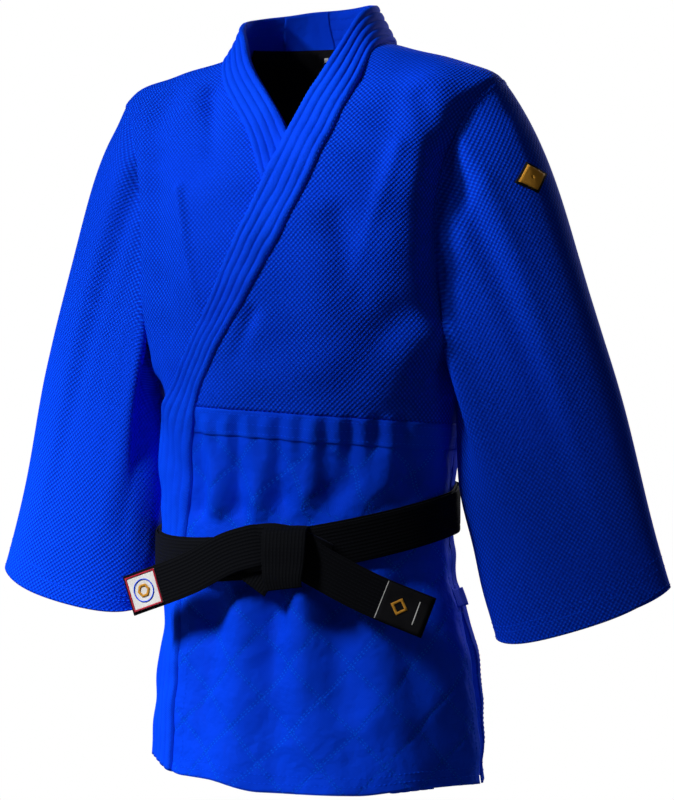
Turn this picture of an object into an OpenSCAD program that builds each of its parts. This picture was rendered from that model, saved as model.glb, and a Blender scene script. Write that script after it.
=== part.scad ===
// Judo jacket with a tied belt, all sizes in millimetres.
// +Z is up, the front faces -Y and the wearer's left is +X.
// The origin is the middle of the neck base, where the jacket hangs from the shoulders.

/* [Body] */
// Height of the hem below the neck base
hem_drop = 765; // [740:5:790]
// Half width of the skirt at the hem
hem_half_w = 182; // [176:1:190]
// Half depth of the skirt at the hem
hem_half_d = 122; // [116:1:128]
// Half width of the jacket under the belt
waist_half_w = 146; // [143:1:149]
// Half depth of the jacket under the belt
waist_half_d = 102; // [99:1:105]
// Half width across the shoulder points
shoulder_half_w = 212; // [206:1:216]
// Height of the waist seam below the neck base
waist_seam_drop = 378; // [374:1:384]

/* [Collar] */
// Height of the standing collar at the back
collar_h = 43; // [40:1:46]
// Half width of the collar at its top edge
collar_top_half_w = 68; // [66:1:70]
// Half width of the neck base
neck_half_w = 90; // [88:1:92]
// Thickness of the collar cover with its core
collar_t = 5.4; // [5.2:0.1:5.8]

/* [Sleeves] */
// Height of the armhole seam from shoulder to underarm
armhole_h = 288; // [280:1:292]
// Half depth of the armhole seam
armhole_half_d = 68; // [64:1:72]
// Half width of the cuff
cuff_half_w = 88; // [84:1:92]
// Half depth of the cuff
cuff_half_d = 42; // [38:1:46]
// How far out the middle of the cuff hangs
cuff_out = 291; // [286:1:296]
// How far down the middle of the cuff hangs
cuff_drop = 583; // [575:1:590]

/* [Belt] */
// Width of the belt
belt_w = 42; // [40:1:45]
// Thickness of one layer of belt
belt_t = 2.6; // [2.2:0.1:2.8]
// Length of each free belt end
tail_len = 130; // [120:1:140]

/* [Cloth] */
// Thickness of one layer of jacket cloth
cloth_t = 1.8; // [1.6:0.1:2]
// Drop of the line where the skirt panels bend when they swing
flap_drop = 610; // [606:1:616]
// Drop of the top of the side slits
slit_drop = 563; // [556:1:568]

/* [Hidden] */

gi_blue = [0.0, 0.18, 0.78];
lining_black = [0.05, 0.05, 0.06];
belt_black = [0.03, 0.03, 0.04];
gold = [0.84, 0.58, 0.2];

// Layers, measured outwards from the body form.
layer_gap = 1.4;                            // room between layers that lie on each other
over_off = collar_t + layer_gap;            // the left front lies over the right lapel
belt_back_off = cloth_t + layer_gap;        // the belt lies on one layer at the back
belt_front_off = over_off + collar_t + layer_gap; // and on the left lapel at the front
belt_layer_gap = 0.6;
cover_t = 1.6;                              // the outer face of the collar cover
core_t = collar_t - cover_t - 1.8;          // the padding under it
seam_gap = 1;                               // room between pieces that are sewn edge to edge
bend_gap = 1.2;                             // room above and below a bend line

// The body form as half sizes of rings, each [height, half width, half depth, middle y].
RINGS = [
    [-hem_drop, hem_half_w, hem_half_d, 0],
    [-flap_drop, hem_half_w - 17, hem_half_d - 11, 0],
    [-564, waist_half_w + 2, waist_half_d + 1, 0],
    [-445, waist_half_w + 2, waist_half_d + 1, 0],
    [-waist_seam_drop, waist_half_w + 14, waist_half_d + 10, 0],
    [-330, 172, 117, 0],
    [-250, 184, 119, 0],
    [-150, 198, 108, 2],
    [-90, shoulder_half_w - 3, 90, 4],
    [-58, shoulder_half_w, 80, 6],
    [-42, shoulder_half_w - 9, 74, 8],
    [-18, 152, 70, 10],
    [-5, 108, 68, 10],
    [2, neck_half_w, 66, 10],
    [collar_h, collar_top_half_w, 58, 16]
];
function column(k) = [for (r = RINGS) [r[0], r[k]]];
HALF_W = column(1);
HALF_D = column(2);
MIDDLE = column(3);

function half_w(z) = lookup(z, HALF_W);
function half_d(z) = lookup(z, HALF_D);

// A point of the form. The angle u runs from the left side (0) over the front (90)
// to the right side (180) and the back (270).
function on_form(u, z) = [
    half_w(z) * cos(u),
    lookup(z, MIDDLE) - half_d(z) * sin(u),
    z
];
function unit(v) = v / norm(v);
function form_normal(u, z) = unit(cross(
    on_form(u, z + 1.5) - on_form(u, z - 1.5),
    on_form(u + 1, z) - on_form(u - 1, z)
));
function form_at(u, z, off) = on_form(u, z) + off * form_normal(u, z);
function mix(a, b, t) = a + (b - a) * t;
function clamp01(t) = min(1, max(0, t));

// ---- Closed solids from grids of points ----

// The two triangles of a four-sided cell, facing the side where its corners run forwards.
function cell(a, b, c, d) = [[a, b, c], [a, c, d]];

// A thin solid between an outer and an inner grid, each (nv + 1) rows of (nu + 1) points.
module slab(outer, inner, nu, nv) {
    w = nu + 1;
    n = w * (nv + 1);
    points = concat([for (row = outer) each row], [for (row = inner) each row]);
    faces = [
        for (j = [0 : nv - 1]) for (i = [0 : nu - 1])
            let (a = j * w + i)
            each concat(
                cell(a, a + 1, a + w + 1, a + w),
                cell(n + a, n + a + w, n + a + w + 1, n + a + 1)
            ),
        for (i = [0 : nu - 1])
            let (a = i, b = nv * w + i)
            each concat(
                cell(a, n + a, n + a + 1, a + 1),
                cell(b, b + 1, n + b + 1, n + b)
            ),
        for (j = [0 : nv - 1])
            let (a = j * w, b = j * w + nu)
            each concat(
                cell(a, a + w, n + a + w, n + a),
                cell(b, n + b, n + b + w, b + w)
            )
    ];
    polyhedron(points, faces);
}

// A tube wall between an outer and an inner grid of closed rings, nu points each.
module tube(outer, inner, nu, nv) {
    n = nu * (nv + 1);
    points = concat([for (row = outer) each row], [for (row = inner) each row]);
    faces = [
        for (j = [0 : nv - 1]) for (i = [0 : nu - 1])
            let (k = (i + 1) % nu, a = j * nu + i, b = j * nu + k)
            each concat(
                cell(a, b, b + nu, a + nu),
                cell(n + a, n + a + nu, n + b + nu, n + b)
            ),
        for (i = [0 : nu - 1])
            let (k = (i + 1) % nu, a = i, b = k, c = nv * nu + i, d = nv * nu + k)
            each concat(
                cell(a, n + a, n + b, b),
                cell(c, d, n + d, n + c)
            )
    ];
    polyhedron(points, faces);
}

// ---- Lapel edges ----

// How far from the middle the lapel's edges lie at a height: the sewn edge and the free edge.
SEWN_EDGE = [
    [-hem_drop, -112], [-490, -96], [-377, -80], [-327, -58], [-256, -17],
    [-166, 31], [-66, 70], [2, neck_half_w]
];
FREE_EDGE = [
    [-hem_drop, -150], [-490, -134], [-377, -124], [-296, -82], [-216, -42],
    [-96, 8], [collar_h, collar_top_half_w]
];
function sewn_u(z) = acos(min(1, lookup(z, SEWN_EDGE) / half_w(z)));
function free_u(z) = acos(min(1, lookup(z, FREE_EDGE) / half_w(z)));

// ---- Armholes ----

armhole_top = -47;
armhole_mid = armhole_top - armhole_h / 2;
function armhole_y(z) =
    let (k = (z - armhole_mid) / (armhole_h / 2))
    abs(k) >= 1 ? 0 : armhole_half_d * sqrt(1 - k * k);
function armhole_u(z) = asin(min(1, armhole_y(z) / half_d(z)));

// ---- Body panels ----

body_nu = 9;
body_nv = 13;
body_low = -waist_seam_drop + seam_gap;
body_high = -7;
// Rows are closer together at the shoulder.
function body_z(j) = mix(body_low, body_high, 1 - pow(1 - j / body_nv, 1.5));

// The upper layer comes down to the lower one at the side seam, the armhole and the neck.
function neck_ramp(z) = clamp01((-z - 25) / 55);
function side_ramp(u, z) = clamp01((u - armhole_u(z) * 0.9) / 15) * neck_ramp(z);

// A front panel on the left side, from the side seam to the lapel.
module front_body(off) {
    function grid(extra) = [
        for (j = [0 : body_nv])
            let (z = body_z(j), start = max(0.4, armhole_u(z)) + 0.6, end = sewn_u(z) - 0.6)
            [for (i = [0 : body_nu])
                let (u = mix(start, max(start + 2, end), i / body_nu))
                form_at(u, z, off * side_ramp(u, z) + extra)]
    ];
    slab(grid(cloth_t), grid(0), body_nu, body_nv);
}
module left_front_body() {
    color(gi_blue) front_body(over_off);
}
module right_front_body() {
    color(gi_blue) mirror([1, 0, 0]) front_body(0);
}
module back_body() {
    function grid(extra) = [
        for (j = [0 : body_nv])
            let (z = body_z(j), side = max(0.4, armhole_u(z)) + 0.6)
            [for (i = [0 : 2 * body_nu])
                form_at(mix(180 + side, 360 - side, i / (2 * body_nu)), z, extra)]
    ];
    color(gi_blue) slab(grid(cloth_t), grid(0), 2 * body_nu, body_nv);
}
module back_lining() {
    lining_nu = 10;
    lining_nv = 9;
    function grid(extra) = [
        for (j = [0 : lining_nv])
            let (z = mix(-240, -14, j / lining_nv))
            [for (i = [0 : lining_nu])
                form_at(mix(212, 328, i / lining_nu), z, extra)]
    ];
    color(lining_black) slab(grid(-2.6), grid(-4), lining_nu, lining_nv);
}

// ---- Sleeves, modelled on the left ----

sleeve_nu = 20;
sleeve_nv = 7;
armhole_gap = 2.2;
cuff_tilt = 17;
cuff_y = 14;
sleeve_bulge = 28;
// The armhole ring lies just outside the body form. Angle 0 is the shoulder point.
function sleeve_root(w, grow) =
    let (
        z = armhole_mid + (armhole_h / 2 - 3 + grow) * cos(w),
        y = (armhole_half_d - 3 + grow) * sin(w),
        u = asin(max(-1, min(1, y / half_d(z))))
    )
    [half_w(z) * cos(u) + armhole_gap, y + lookup(z, MIDDLE) * 0.5, z];
function sleeve_cuff(w, grow) =
    [cuff_out, cuff_y, -cuff_drop]
    + (cuff_half_w + grow) * cos(w) * [cos(cuff_tilt), 0, sin(cuff_tilt)]
    + (cuff_half_d + grow) * sin(w) * [0, 1, 0];
function sleeve_at(w, t, grow) =
    mix(sleeve_root(w, grow), sleeve_cuff(w, grow), t)
    + sleeve_bulge * 4 * t * (1 - t) * max(0, cos(w)) * [1, 0, 0.3];
function sleeve_grid(t0, t1, grow, nv) = [
    for (j = [0 : nv])
        [for (i = [0 : sleeve_nu - 1])
            sleeve_at(360 * i / sleeve_nu, mix(t0, t1, j / nv), grow)]
];
module sleeve() {
    tube(sleeve_grid(0, 1, 0, sleeve_nv), sleeve_grid(0, 1, -cloth_t, sleeve_nv),
         sleeve_nu, sleeve_nv);
}
// The hem is turned up inside the cuff.
hem_start = 0.945;
module cuff_hem() {
    tube(sleeve_grid(hem_start, 1, -cloth_t - layer_gap, 1),
         sleeve_grid(hem_start, 1, -cloth_t * 2 - layer_gap, 1), sleeve_nu, 1);
}
// A patch inside the sleeve wall, between two angles and two places along the sleeve.
module sleeve_patch(w0, w1, t0, t1, outer, inner, nu, nv) {
    function grid(grow) = [
        for (j = [0 : nv])
            [for (i = [0 : nu])
                sleeve_at(mix(w0, w1, i / nu), mix(t0, t1, j / nv), grow)]
    ];
    slab(grid(outer), grid(inner), nu, nv);
}
module gusset() {
    sleeve_patch(144, 216, 0.02, 0.2, -cloth_t - layer_gap, -cloth_t * 2 - layer_gap, 4, 2);
}
module left_sleeve() {
    color(gi_blue) sleeve();
}
module right_sleeve() {
    color(gi_blue) mirror([1, 0, 0]) sleeve();
}
module left_cuff_hem() {
    color(gi_blue) cuff_hem();
}
module right_cuff_hem() {
    color(gi_blue) mirror([1, 0, 0]) cuff_hem();
}
module left_gusset() {
    color(gi_blue) gusset();
}
module right_gusset() {
    color(gi_blue) mirror([1, 0, 0]) gusset();
}

// ---- Lapels and collar ----

// A strip along the lapel from row heights at the top down to one height, with c across it
// from the sewn edge to the free edge.
lapel_nu = 3;
function lapel_point(c, z_sewn, z_free, off, extra) =
    let (z = mix(z_sewn, z_free, c), u = mix(sewn_u(z_sewn), free_u(z_free), c))
    form_at(u, z, off * neck_ramp(z_sewn) + extra);
module lapel_strip(top_sewn, top_free, low, off, inner, outer, nv, edge = 0) {
    function grid(extra) = [
        for (j = [0 : nv])
            // Rows are closer together at the neck.
            let (
                s = pow(1 - j / nv, 1.6),
                z_sewn = mix(top_sewn, low, s),
                z_free = mix(top_free, low, s)
            )
            [for (i = [0 : lapel_nu])
                lapel_point(mix(edge, 1 - edge, i / lapel_nu), z_sewn, z_free, off, extra)]
    ];
    slab(grid(outer), grid(inner), lapel_nu, nv);
}
lapel_low = -flap_drop + bend_gap;
lapel_rows = 22;
// The cover is the outer part of the band, and the core lies under it against the cloth.
module lapel_cover(off) {
    lapel_strip(5, collar_h, lapel_low, off, collar_t - cover_t, collar_t, lapel_rows);
}
module lapel_core(off) {
    lapel_strip(4, collar_h - 3, lapel_low + 2, off, 0, core_t, lapel_rows, 0.08);
}
module left_lapel() {
    color(gi_blue) lapel_cover(over_off);
}
module left_lapel_core() {
    color("gainsboro") lapel_core(over_off);
}
module right_lapel() {
    color(gi_blue) mirror([1, 0, 0]) lapel_cover(0);
}
module right_lapel_core() {
    color("gainsboro") mirror([1, 0, 0]) lapel_core(0);
}
module lapel_tail(off) {
    top = -flap_drop - bend_gap;
    lapel_strip(top, top, -hem_drop, off, 0, collar_t, 5);
}
module left_lapel_tail() {
    color(gi_blue) lapel_tail(over_off);
}
module right_lapel_tail() {
    color(gi_blue) mirror([1, 0, 0]) lapel_tail(0);
}
// The standing collar round the back of the neck.
module collar_arc(u0, u1, z0, z1, outer, inner, nu) {
    function grid(extra) = [
        for (z = [z0, mix(z0, z1, 0.5), z1])
            [for (i = [0 : nu]) form_at(mix(u0, u1, i / nu), z, extra)]
    ];
    slab(grid(outer), grid(inner), nu, 2);
}
neck_start = 181;
neck_end = 359;
module neck_band() {
    color(gi_blue)
        collar_arc(neck_start, neck_end, 5, collar_h, collar_t, collar_t - cover_t, 18);
}
module neck_band_core() {
    color("gainsboro")
        collar_arc(neck_start + 1, neck_end - 1, 6, collar_h - 3, core_t, 0, 18);
}
// The joining patch inside the back of the collar.
module neck_patch() {
    color(gi_blue)
        collar_arc(249, 291, 5, collar_h - 1, -0.3, -1.5, 4);
}
module size_label() {
    color(lining_black)
        collar_arc(277, 289, -40, -18, -5.6, -6.4, 2);
}

// ---- Waist band and skirt ----

band_h = 26;
panel_nu = 12;
back_nu = 14;
// A panel of the skirt between two heights. Angles come from functions of the height.
module left_panel(z0, z1, off, nv, start_u = 1) {
    function grid(extra) = [
        for (j = [0 : nv])
            let (z = mix(z0, z1, j / nv), end = sewn_u(z) - 0.6)
            [for (i = [0 : panel_nu])
                let (u = mix(start_u, end, i / panel_nu))
                form_at(u, z, off * clamp01((u - 1) / 15) + extra)]
    ];
    slab(grid(cloth_t), grid(0), panel_nu, nv);
}
module back_panel(z0, z1, nv, side_u = 1) {
    function grid(extra) = [
        for (j = [0 : nv])
            let (z = mix(z0, z1, j / nv))
            [for (i = [0 : back_nu])
                form_at(mix(180 + side_u, 360 - side_u, i / back_nu), z, extra)]
    ];
    slab(grid(cloth_t), grid(0), back_nu, nv);
}
waist_high = -waist_seam_drop - seam_gap;
waist_low = waist_high - band_h;
// The band is a strip along the waist seam, where body and skirt meet.
module left_waist_band() {
    color(gi_blue) left_panel(waist_low, waist_high, over_off, 1);
}
module right_waist_band() {
    color(gi_blue) mirror([1, 0, 0])
        left_panel(waist_low, waist_high, 0, 1);
}
module back_waist_band() {
    color(gi_blue) back_panel(waist_low, waist_high, 1);
}
skirt_high = waist_low - seam_gap;
skirt_low = -flap_drop + bend_gap;
module left_front_skirt() {
    color(gi_blue) left_panel(skirt_low, skirt_high, over_off, 4);
}
module right_front_skirt() {
    color(gi_blue) mirror([1, 0, 0]) left_panel(skirt_low, skirt_high, 0, 4);
}
module back_skirt() {
    color(gi_blue) back_panel(skirt_low, skirt_high, 4);
}
flap_high = -flap_drop - bend_gap;
slit_u = 2;
module left_front_flap() {
    color(gi_blue) left_panel(-hem_drop, flap_high, over_off, 3, slit_u);
}
module right_front_flap() {
    color(gi_blue) mirror([1, 0, 0])
        left_panel(-hem_drop, flap_high, 0, 3, slit_u);
}
module back_flap() {
    color(gi_blue) back_panel(-hem_drop, flap_high, 3, slit_u);
}
// A small tab sewn over the top of each slit.
module vent_tab() {
    function grid(extra) = [
        for (z = [-slit_drop - 16, -slit_drop + 12])
            [for (i = [0 : 4]) form_at(mix(-5, 3, i / 4), z, cloth_t + 2 * layer_gap + extra)]
    ];
    slab(grid(1.4), grid(0), 4, 1);
}
module left_vent_tab() {
    color(gi_blue) vent_tab();
}
module right_vent_tab() {
    color(gi_blue) mirror([1, 0, 0]) vent_tab();
}

// ---- Emblem on the left sleeve ----

module emblem_ground() {
    color(lining_black) sleeve_patch(-44, -20, 0.13, 0.21, 1.2, 0.3, 4, 3);
}
module emblem_motif() {
    color(gold) sleeve_patch(-40, -24, 0.145, 0.195, 2.2, 1.4, 3, 2);
}

// ---- Belt ----

belt_z = -497;
belt_side_slope = 0.12;
belt_depth_slope = 0.2;
belt_nu = 36;
// How far the belt stands off the form, which follows the layers under it.
function belt_off(u) =
    mix(belt_back_off, belt_front_off, clamp01((u + 5) / 16) * clamp01((185 - u) / 16));
// The belt's middle line runs round the waist in a plane that is low at the front.
function belt_point(u, off, up) =
    let (x = (waist_half_w + 2 + off) * cos(u), y = -(waist_half_d + 1 + off) * sin(u))
    [x, y, belt_z + belt_side_slope * x + belt_depth_slope * y + up];
module belt_wrap(layer) {
    start = layer * (belt_t + belt_layer_gap);
    function grid(level) = [
        for (up = [-belt_w / 2, belt_w / 2])
            [for (i = [0 : belt_nu - 1])
                let (u = 360 * i / belt_nu)
                belt_point(u, belt_off(u > 270 ? u - 360 : u) + level, up)]
    ];
    tube(grid(start + belt_t), grid(start), belt_nu, 1);
}
module belt_inner_wrap() {
    color(belt_black) belt_wrap(0);
}
module belt_outer_wrap() {
    color(belt_black) belt_wrap(1);
}
belt_front = waist_half_d + 1 + belt_front_off + 2 * belt_t + belt_layer_gap;
knot_x = 14;
knot_y = -belt_front - 1;
knot_z = belt_z + belt_depth_slope * knot_y + 5;
knot_w = 66;
knot_h = 60;
knot_d = 20;
module knot_block(w, h, d, r) {
    rotate([90, 0, 0])
        linear_extrude(d)
            hull()
                for (x = [-1, 1]) for (z = [-1, 1])
                    translate([x * (w / 2 - r), z * (h / 2 - r)]) circle(r, $fn = 32);
}
module belt_knot() {
    color(belt_black)
        translate([knot_x, knot_y, knot_z]) rotate([0, -6, 0])
            knot_block(knot_w, knot_h, knot_d, 14);
}
loop_drop = knot_h / 2 + 12;
module belt_loop_end() {
    color(belt_black)
        translate([knot_x - 20, knot_y - 3, knot_z - loop_drop]) rotate([0, 10, 0])
            knot_block(32, 14, 7, 5);
}
// The free ends leave the sides of the knot and slope down beside it.
left_tail_slope = 21.9;
right_tail_slope = 16.7;
tail_back = 4;
tail_y = knot_y - knot_d / 2 - 4;
tail_start = norm([knot_w / 2, knot_h / 2]) - 4;
module place_tail(slope) {
    translate([knot_x, tail_y, knot_z])
        rotate([0, slope, 0])
            translate([tail_start, 0, -belt_w / 2])
                rotate([0, 0, tail_back]) children();
}
module place_left_tail() {
    place_tail(left_tail_slope) children();
}
module place_right_tail() {
    translate([2 * knot_x, 0, 0]) mirror([1, 0, 0]) place_tail(right_tail_slope) children();
}
module tail_strip() {
    cube([tail_len, belt_t, belt_w]);
}
module belt_left_tail() {
    color(belt_black) place_left_tail() tail_strip();
}
module belt_right_tail() {
    color(belt_black) place_right_tail() tail_strip();
}
patch_t = 0.8;
badge_size = 36;
badge_at = [tail_len - badge_size - 2, -patch_t - 0.2, (belt_w - badge_size) / 2];
badge_rim = 2.5;
module tail_badge() {
    color("white") place_right_tail() translate(badge_at)
        cube([badge_size, patch_t, badge_size]);
}
module tail_badge_border() {
    inner = badge_size - 2 * badge_rim;
    color("red") place_right_tail() translate(badge_at - [0, patch_t + 0.2, 0])
        difference() {
            cube([badge_size, patch_t, badge_size]);
            translate([badge_rim, -1, badge_rim]) cube([inner, patch_t + 2, inner]);
        }
}
label_len = 48;
module tail_label() {
    color(lining_black) place_left_tail()
        translate([tail_len - label_len - 1.5, -patch_t - 0.2, 1.5])
            cube([label_len, patch_t, belt_w - 3]);
}

back_body();
left_front_body();
right_front_body();
back_lining();
left_sleeve();
right_sleeve();
left_cuff_hem();
right_cuff_hem();
left_gusset();
right_gusset();
left_lapel();
right_lapel();
left_lapel_core();
right_lapel_core();
neck_band();
neck_band_core();
neck_patch();
left_lapel_tail();
right_lapel_tail();
left_waist_band();
right_waist_band();
back_waist_band();
left_front_skirt();
right_front_skirt();
back_skirt();
left_front_flap();
right_front_flap();
back_flap();
left_vent_tab();
right_vent_tab();
size_label();
emblem_ground();
emblem_motif();
belt_inner_wrap();
belt_outer_wrap();
belt_knot();
belt_loop_end();
belt_left_tail();
belt_right_tail();
tail_badge();
tail_badge_border();
tail_label();
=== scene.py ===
"""The looks of the judo jacket: woven panels, ridged collar, quilted skirt and a tied belt.

Lengths are worked out in millimetres on the body form and turned to metres in mesh_piece().
The wearer faces -Y, the left side is +X, and z is 0 where the neck band is sewn on.
"""
import math

import bmesh
import bpy
import numpy as np
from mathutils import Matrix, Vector


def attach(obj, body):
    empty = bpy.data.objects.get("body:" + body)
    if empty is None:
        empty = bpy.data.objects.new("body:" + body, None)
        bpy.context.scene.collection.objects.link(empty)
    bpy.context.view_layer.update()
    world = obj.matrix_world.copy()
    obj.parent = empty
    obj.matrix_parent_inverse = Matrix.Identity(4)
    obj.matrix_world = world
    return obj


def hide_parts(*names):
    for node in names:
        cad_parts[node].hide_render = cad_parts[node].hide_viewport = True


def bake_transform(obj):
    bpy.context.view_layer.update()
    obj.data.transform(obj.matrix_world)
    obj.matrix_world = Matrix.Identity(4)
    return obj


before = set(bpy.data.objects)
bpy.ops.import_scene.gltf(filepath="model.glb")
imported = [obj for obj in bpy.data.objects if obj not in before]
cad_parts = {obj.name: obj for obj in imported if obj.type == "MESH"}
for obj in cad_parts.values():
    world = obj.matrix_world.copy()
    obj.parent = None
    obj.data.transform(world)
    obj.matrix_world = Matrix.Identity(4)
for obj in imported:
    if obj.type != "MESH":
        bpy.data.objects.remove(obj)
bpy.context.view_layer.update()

MM = 0.001

# ---- The body form, with rings close to the CAD model's ----

HEM_Z = -765.0
FLAP_Z = -610.0       # where the CAD model's skirts bend
SEAM_Z = -378.0       # the top of the waist band
BAND_Z = -398.0       # the bottom of the waist band
SLIT_Z = -563.0       # where the side slits start to open
COLLAR_H = 48.0       # how high the collar stands over the neck line
CLOTH_T = 1.8
COLLAR_T = 5.4
OVER_OFF = 6.8        # how far the left front stands off the form, to clear the right one
LAYER_GAP = 1.4       # the air between the belt and what lies under it
BELT_W = 42.0
ARMHOLE_Z = -191.0    # the armhole's middle
ARMHOLE_H = 288.0
ARMHOLE_HALF_D = 68.0

# Height, half width, half depth and middle y of each ring.
RINGS = np.array([
    [HEM_Z - 30, 181, 125, 0],
    [HEM_Z, 177, 122, 0],
    [-690, 171, 117, 0],
    [FLAP_Z, 164, 111, 0],
    [-548, 152, 104, 0],
    [-500, 149, 101, 0],
    [-445, 151, 104, 0],
    [SEAM_Z, 160, 112, 0],
    [-330, 171, 117, 0],
    [-250, 184, 119, 0],
    [-150, 198, 108, 2],
    [-90, 209, 90, 4],
    [-58, 212, 80, 6],
    [-42, 203, 74, 8],
    [-18, 152, 70, 10],
    [-5, 108, 68, 10],
    [2, 90, 66, 10],
    [20, 78, 62, 13],
    [COLLAR_H, 68, 58, 16],
    [COLLAR_H + 20, 66, 57, 17],
])


def hermite(t, step, start, end, start_slope, end_slope):
    """A cubic between two values with given slopes, over a step of which t is the share."""
    return ((1 + 2 * t) * (1 - t) ** 2 * start + t * (1 - t) ** 2 * step * start_slope
            + t * t * (3 - 2 * t) * end + t * t * (t - 1) * step * end_slope)


def pchip(xs, ys):
    """A smooth curve through the points that adds no bumps between them."""
    xs, ys = np.asarray(xs, float), np.asarray(ys, float)
    h, d = np.diff(xs), np.diff(ys) / np.diff(xs)
    slope = np.zeros(len(xs))
    w1, w2 = 2 * h[1:] + h[:-1], h[1:] + 2 * h[:-1]
    same = d[1:] * d[:-1] > 0
    safe0, safe1 = np.where(same, d[:-1], 1), np.where(same, d[1:], 1)
    slope[1:-1] = np.where(same, (w1 + w2) / (w1 / safe0 + w2 / safe1), 0)
    slope[0], slope[-1] = d[0], d[-1]

    def curve(x):
        x = np.clip(x, xs[0], xs[-1])
        i = np.clip(np.searchsorted(xs, x, side="right") - 1, 0, len(xs) - 2)
        return hermite((x - xs[i]) / h[i], h[i], ys[i], ys[i + 1], slope[i], slope[i + 1])
    return curve


half_w, half_d, middle = (pchip(RINGS[:, 0], RINGS[:, k]) for k in (1, 2, 3))


def smooth(t):
    t = np.clip(t, 0, 1)
    return t * t * (3 - 2 * t)


def squareness(z):
    """The chest and skirt are a little squarer than an ellipse, the neck is an ellipse."""
    return 1 - 0.1 * smooth((-np.asarray(z, float) - 30) / 90)


def power(v, e):
    return np.sign(v) * np.abs(v) ** e


def bell(v):
    return np.exp(-v * v)


def hang(x, y, z):
    """How far the worn cloth is lifted from the form's level rings, and how far it sways."""
    shoulder = (4 * bell((x - 160) / 55) + 4 * bell((x - 203) / 22) + 3 * bell((x - 95) / 25)
                + 5 * bell((x + 195) / 30) - 3 * bell((x + 100) / 40))
    shoulder = shoulder * smooth((z + 150) / 90) * smooth((25 - z) / 25)
    # The waist seam runs down to the left.
    seam = -0.075 * x * bell((z + 392) / 95)
    # The front corners of the hem are drawn up, the right one most.
    corner = (16 * smooth((-x - 118) / 45) + 9 * smooth((-x - 20) / 60)
              + 6 * smooth((x - 80) / 60))
    corner = corner * smooth((30 - y) / 90) * smooth((-z - 640) / 120)
    hem = 5 * smooth((-z - 690) / 75)
    # The collar stands higher behind, and lower on the right.
    collar = 9 * smooth((y - 10) / 50) * smooth((z + 5) / 45)
    collar = collar - 7 * smooth((-x - 10) / 50) * smooth((z - 5) / 40)
    # The skirt sways to the left, its right side further, and the collar to the right.
    right = smooth((150 - x) / 300)
    skirt = ((1 - right) * (12 * smooth((-z - 530) / 110) - 4 * smooth((-z - 670) / 90))
             + right * 17 * smooth((-z - 530) / 80))
    neck = (8 * bell((x + 92) / 28) - 4 * bell((x - 92) / 28)) * bell(z / 22)
    return shoulder + seam + corner + hem + collar, skirt + neck - 8 * smooth((z - 2) / 40)


def on_form(u, z):
    """Points of the form. The angle u runs from the left side over the front (90 degrees)."""
    u, z = np.broadcast_arrays(np.radians(u), np.asarray(z, float))
    e = squareness(z)
    x = half_w(z) * power(np.cos(u), e)
    y = middle(z) - half_d(z) * power(np.sin(u), e)
    lift, sway = hang(x, y, z)
    return np.stack([x + sway, y, z + lift], axis=-1)


def unit(v):
    return v / np.maximum(np.linalg.norm(v, axis=-1, keepdims=True), 1e-9)


def form_normal(u, z):
    du = on_form(np.asarray(u) + 1.5, z) - on_form(np.asarray(u) - 1.5, z)
    dz = on_form(u, np.asarray(z) + 3) - on_form(u, np.asarray(z) - 3)
    return unit(np.cross(dz, du))


def form_at(u, z, off):
    return on_form(u, z) + np.asarray(off)[..., None] * form_normal(u, z)


def angle_of_x(x, z):
    """The front angle at which the form is x from the middle."""
    return np.degrees(np.arccos(np.clip(power(x / half_w(z), 1 / squareness(z)), -1, 1)))


def angle_of_y(y, z):
    """How far round from the side the form is y from its middle."""
    ratio = np.clip(np.abs(y) / half_d(z), 0, 1)
    return np.degrees(np.arcsin(ratio ** (1 / squareness(z))))


# ---- Lapel edges: how far from the middle they lie at a height ----

over_sewn_x = pchip([HEM_Z, -600, -490, -377, -327, -256, -166, -66, 2],
                    [-130, -115, -98, -82, -60, -17, 31, 70, 90])
over_free_x = pchip([HEM_Z, -600, -490, -397, -367, -296, -216, -96, 2, COLLAR_H],
                    [-162, -150, -140, -136, -120, -80, -42, 8, 50, 68])
under_sewn_x = pchip([HEM_Z, -377, -256, -141, -96, -10, 2],
                     [112, 84, 34, -16, -36, -88, -90])
under_free_x = pchip([HEM_Z, -377, -216, -96, 2, COLLAR_H],
                     [150, 124, 58, 10, -54, -68])


def neck_ramp(z):
    """0 at the neck, where every layer lies on the form, and 1 over the chest."""
    return smooth((-z - 25) / 60)


def armhole_y(z):
    """How far from its middle the armhole's edge is, which is an ellipse seen from the side."""
    k = np.clip((z - ARMHOLE_Z) / (ARMHOLE_H / 2), -1, 1)
    return ARMHOLE_HALF_D * np.sqrt(1 - k * k)


# ---- Folds: soft ridges and valleys laid on a surface ----

def segment_distance(p, q, a, b):
    """Distance from points (p, q) to the segment a-b, and how far along it they are."""
    ab = np.array([b[0] - a[0], b[1] - a[1]], float)
    t = ((p - a[0]) * ab[0] + (q - a[1]) * ab[1]) / (ab @ ab)
    c = np.clip(t, 0, 1)
    return np.hypot(p - a[0] - c * ab[0], q - a[1] - c * ab[1]), t


def folds(p, q, creases):
    """The sum of soft folds, each (a, b, half width, height); a fold fades towards b."""
    total = np.zeros(np.broadcast(p, q).shape)
    for a, b, width, height in creases:
        d, t = segment_distance(p, q, a, b)
        total += height * bell(d / width) * (1 - 0.75 * smooth(t))
    return total


def waves(p, q, seed, size, height):
    """Gentle unevenness from a few crossing sine waves, the same each run."""
    rng = np.random.default_rng(seed)
    total = np.zeros(np.broadcast(p, q).shape)
    for _ in range(7):
        way, phase = rng.uniform(0, 2 * math.pi, 2)
        length = size * rng.uniform(0.7, 1.5)
        total += np.sin((p * math.cos(way) + q * math.sin(way)) * 2 * math.pi / length + phase)
    return total * height / 3


# ---- Meshes from grids of points ----


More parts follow.
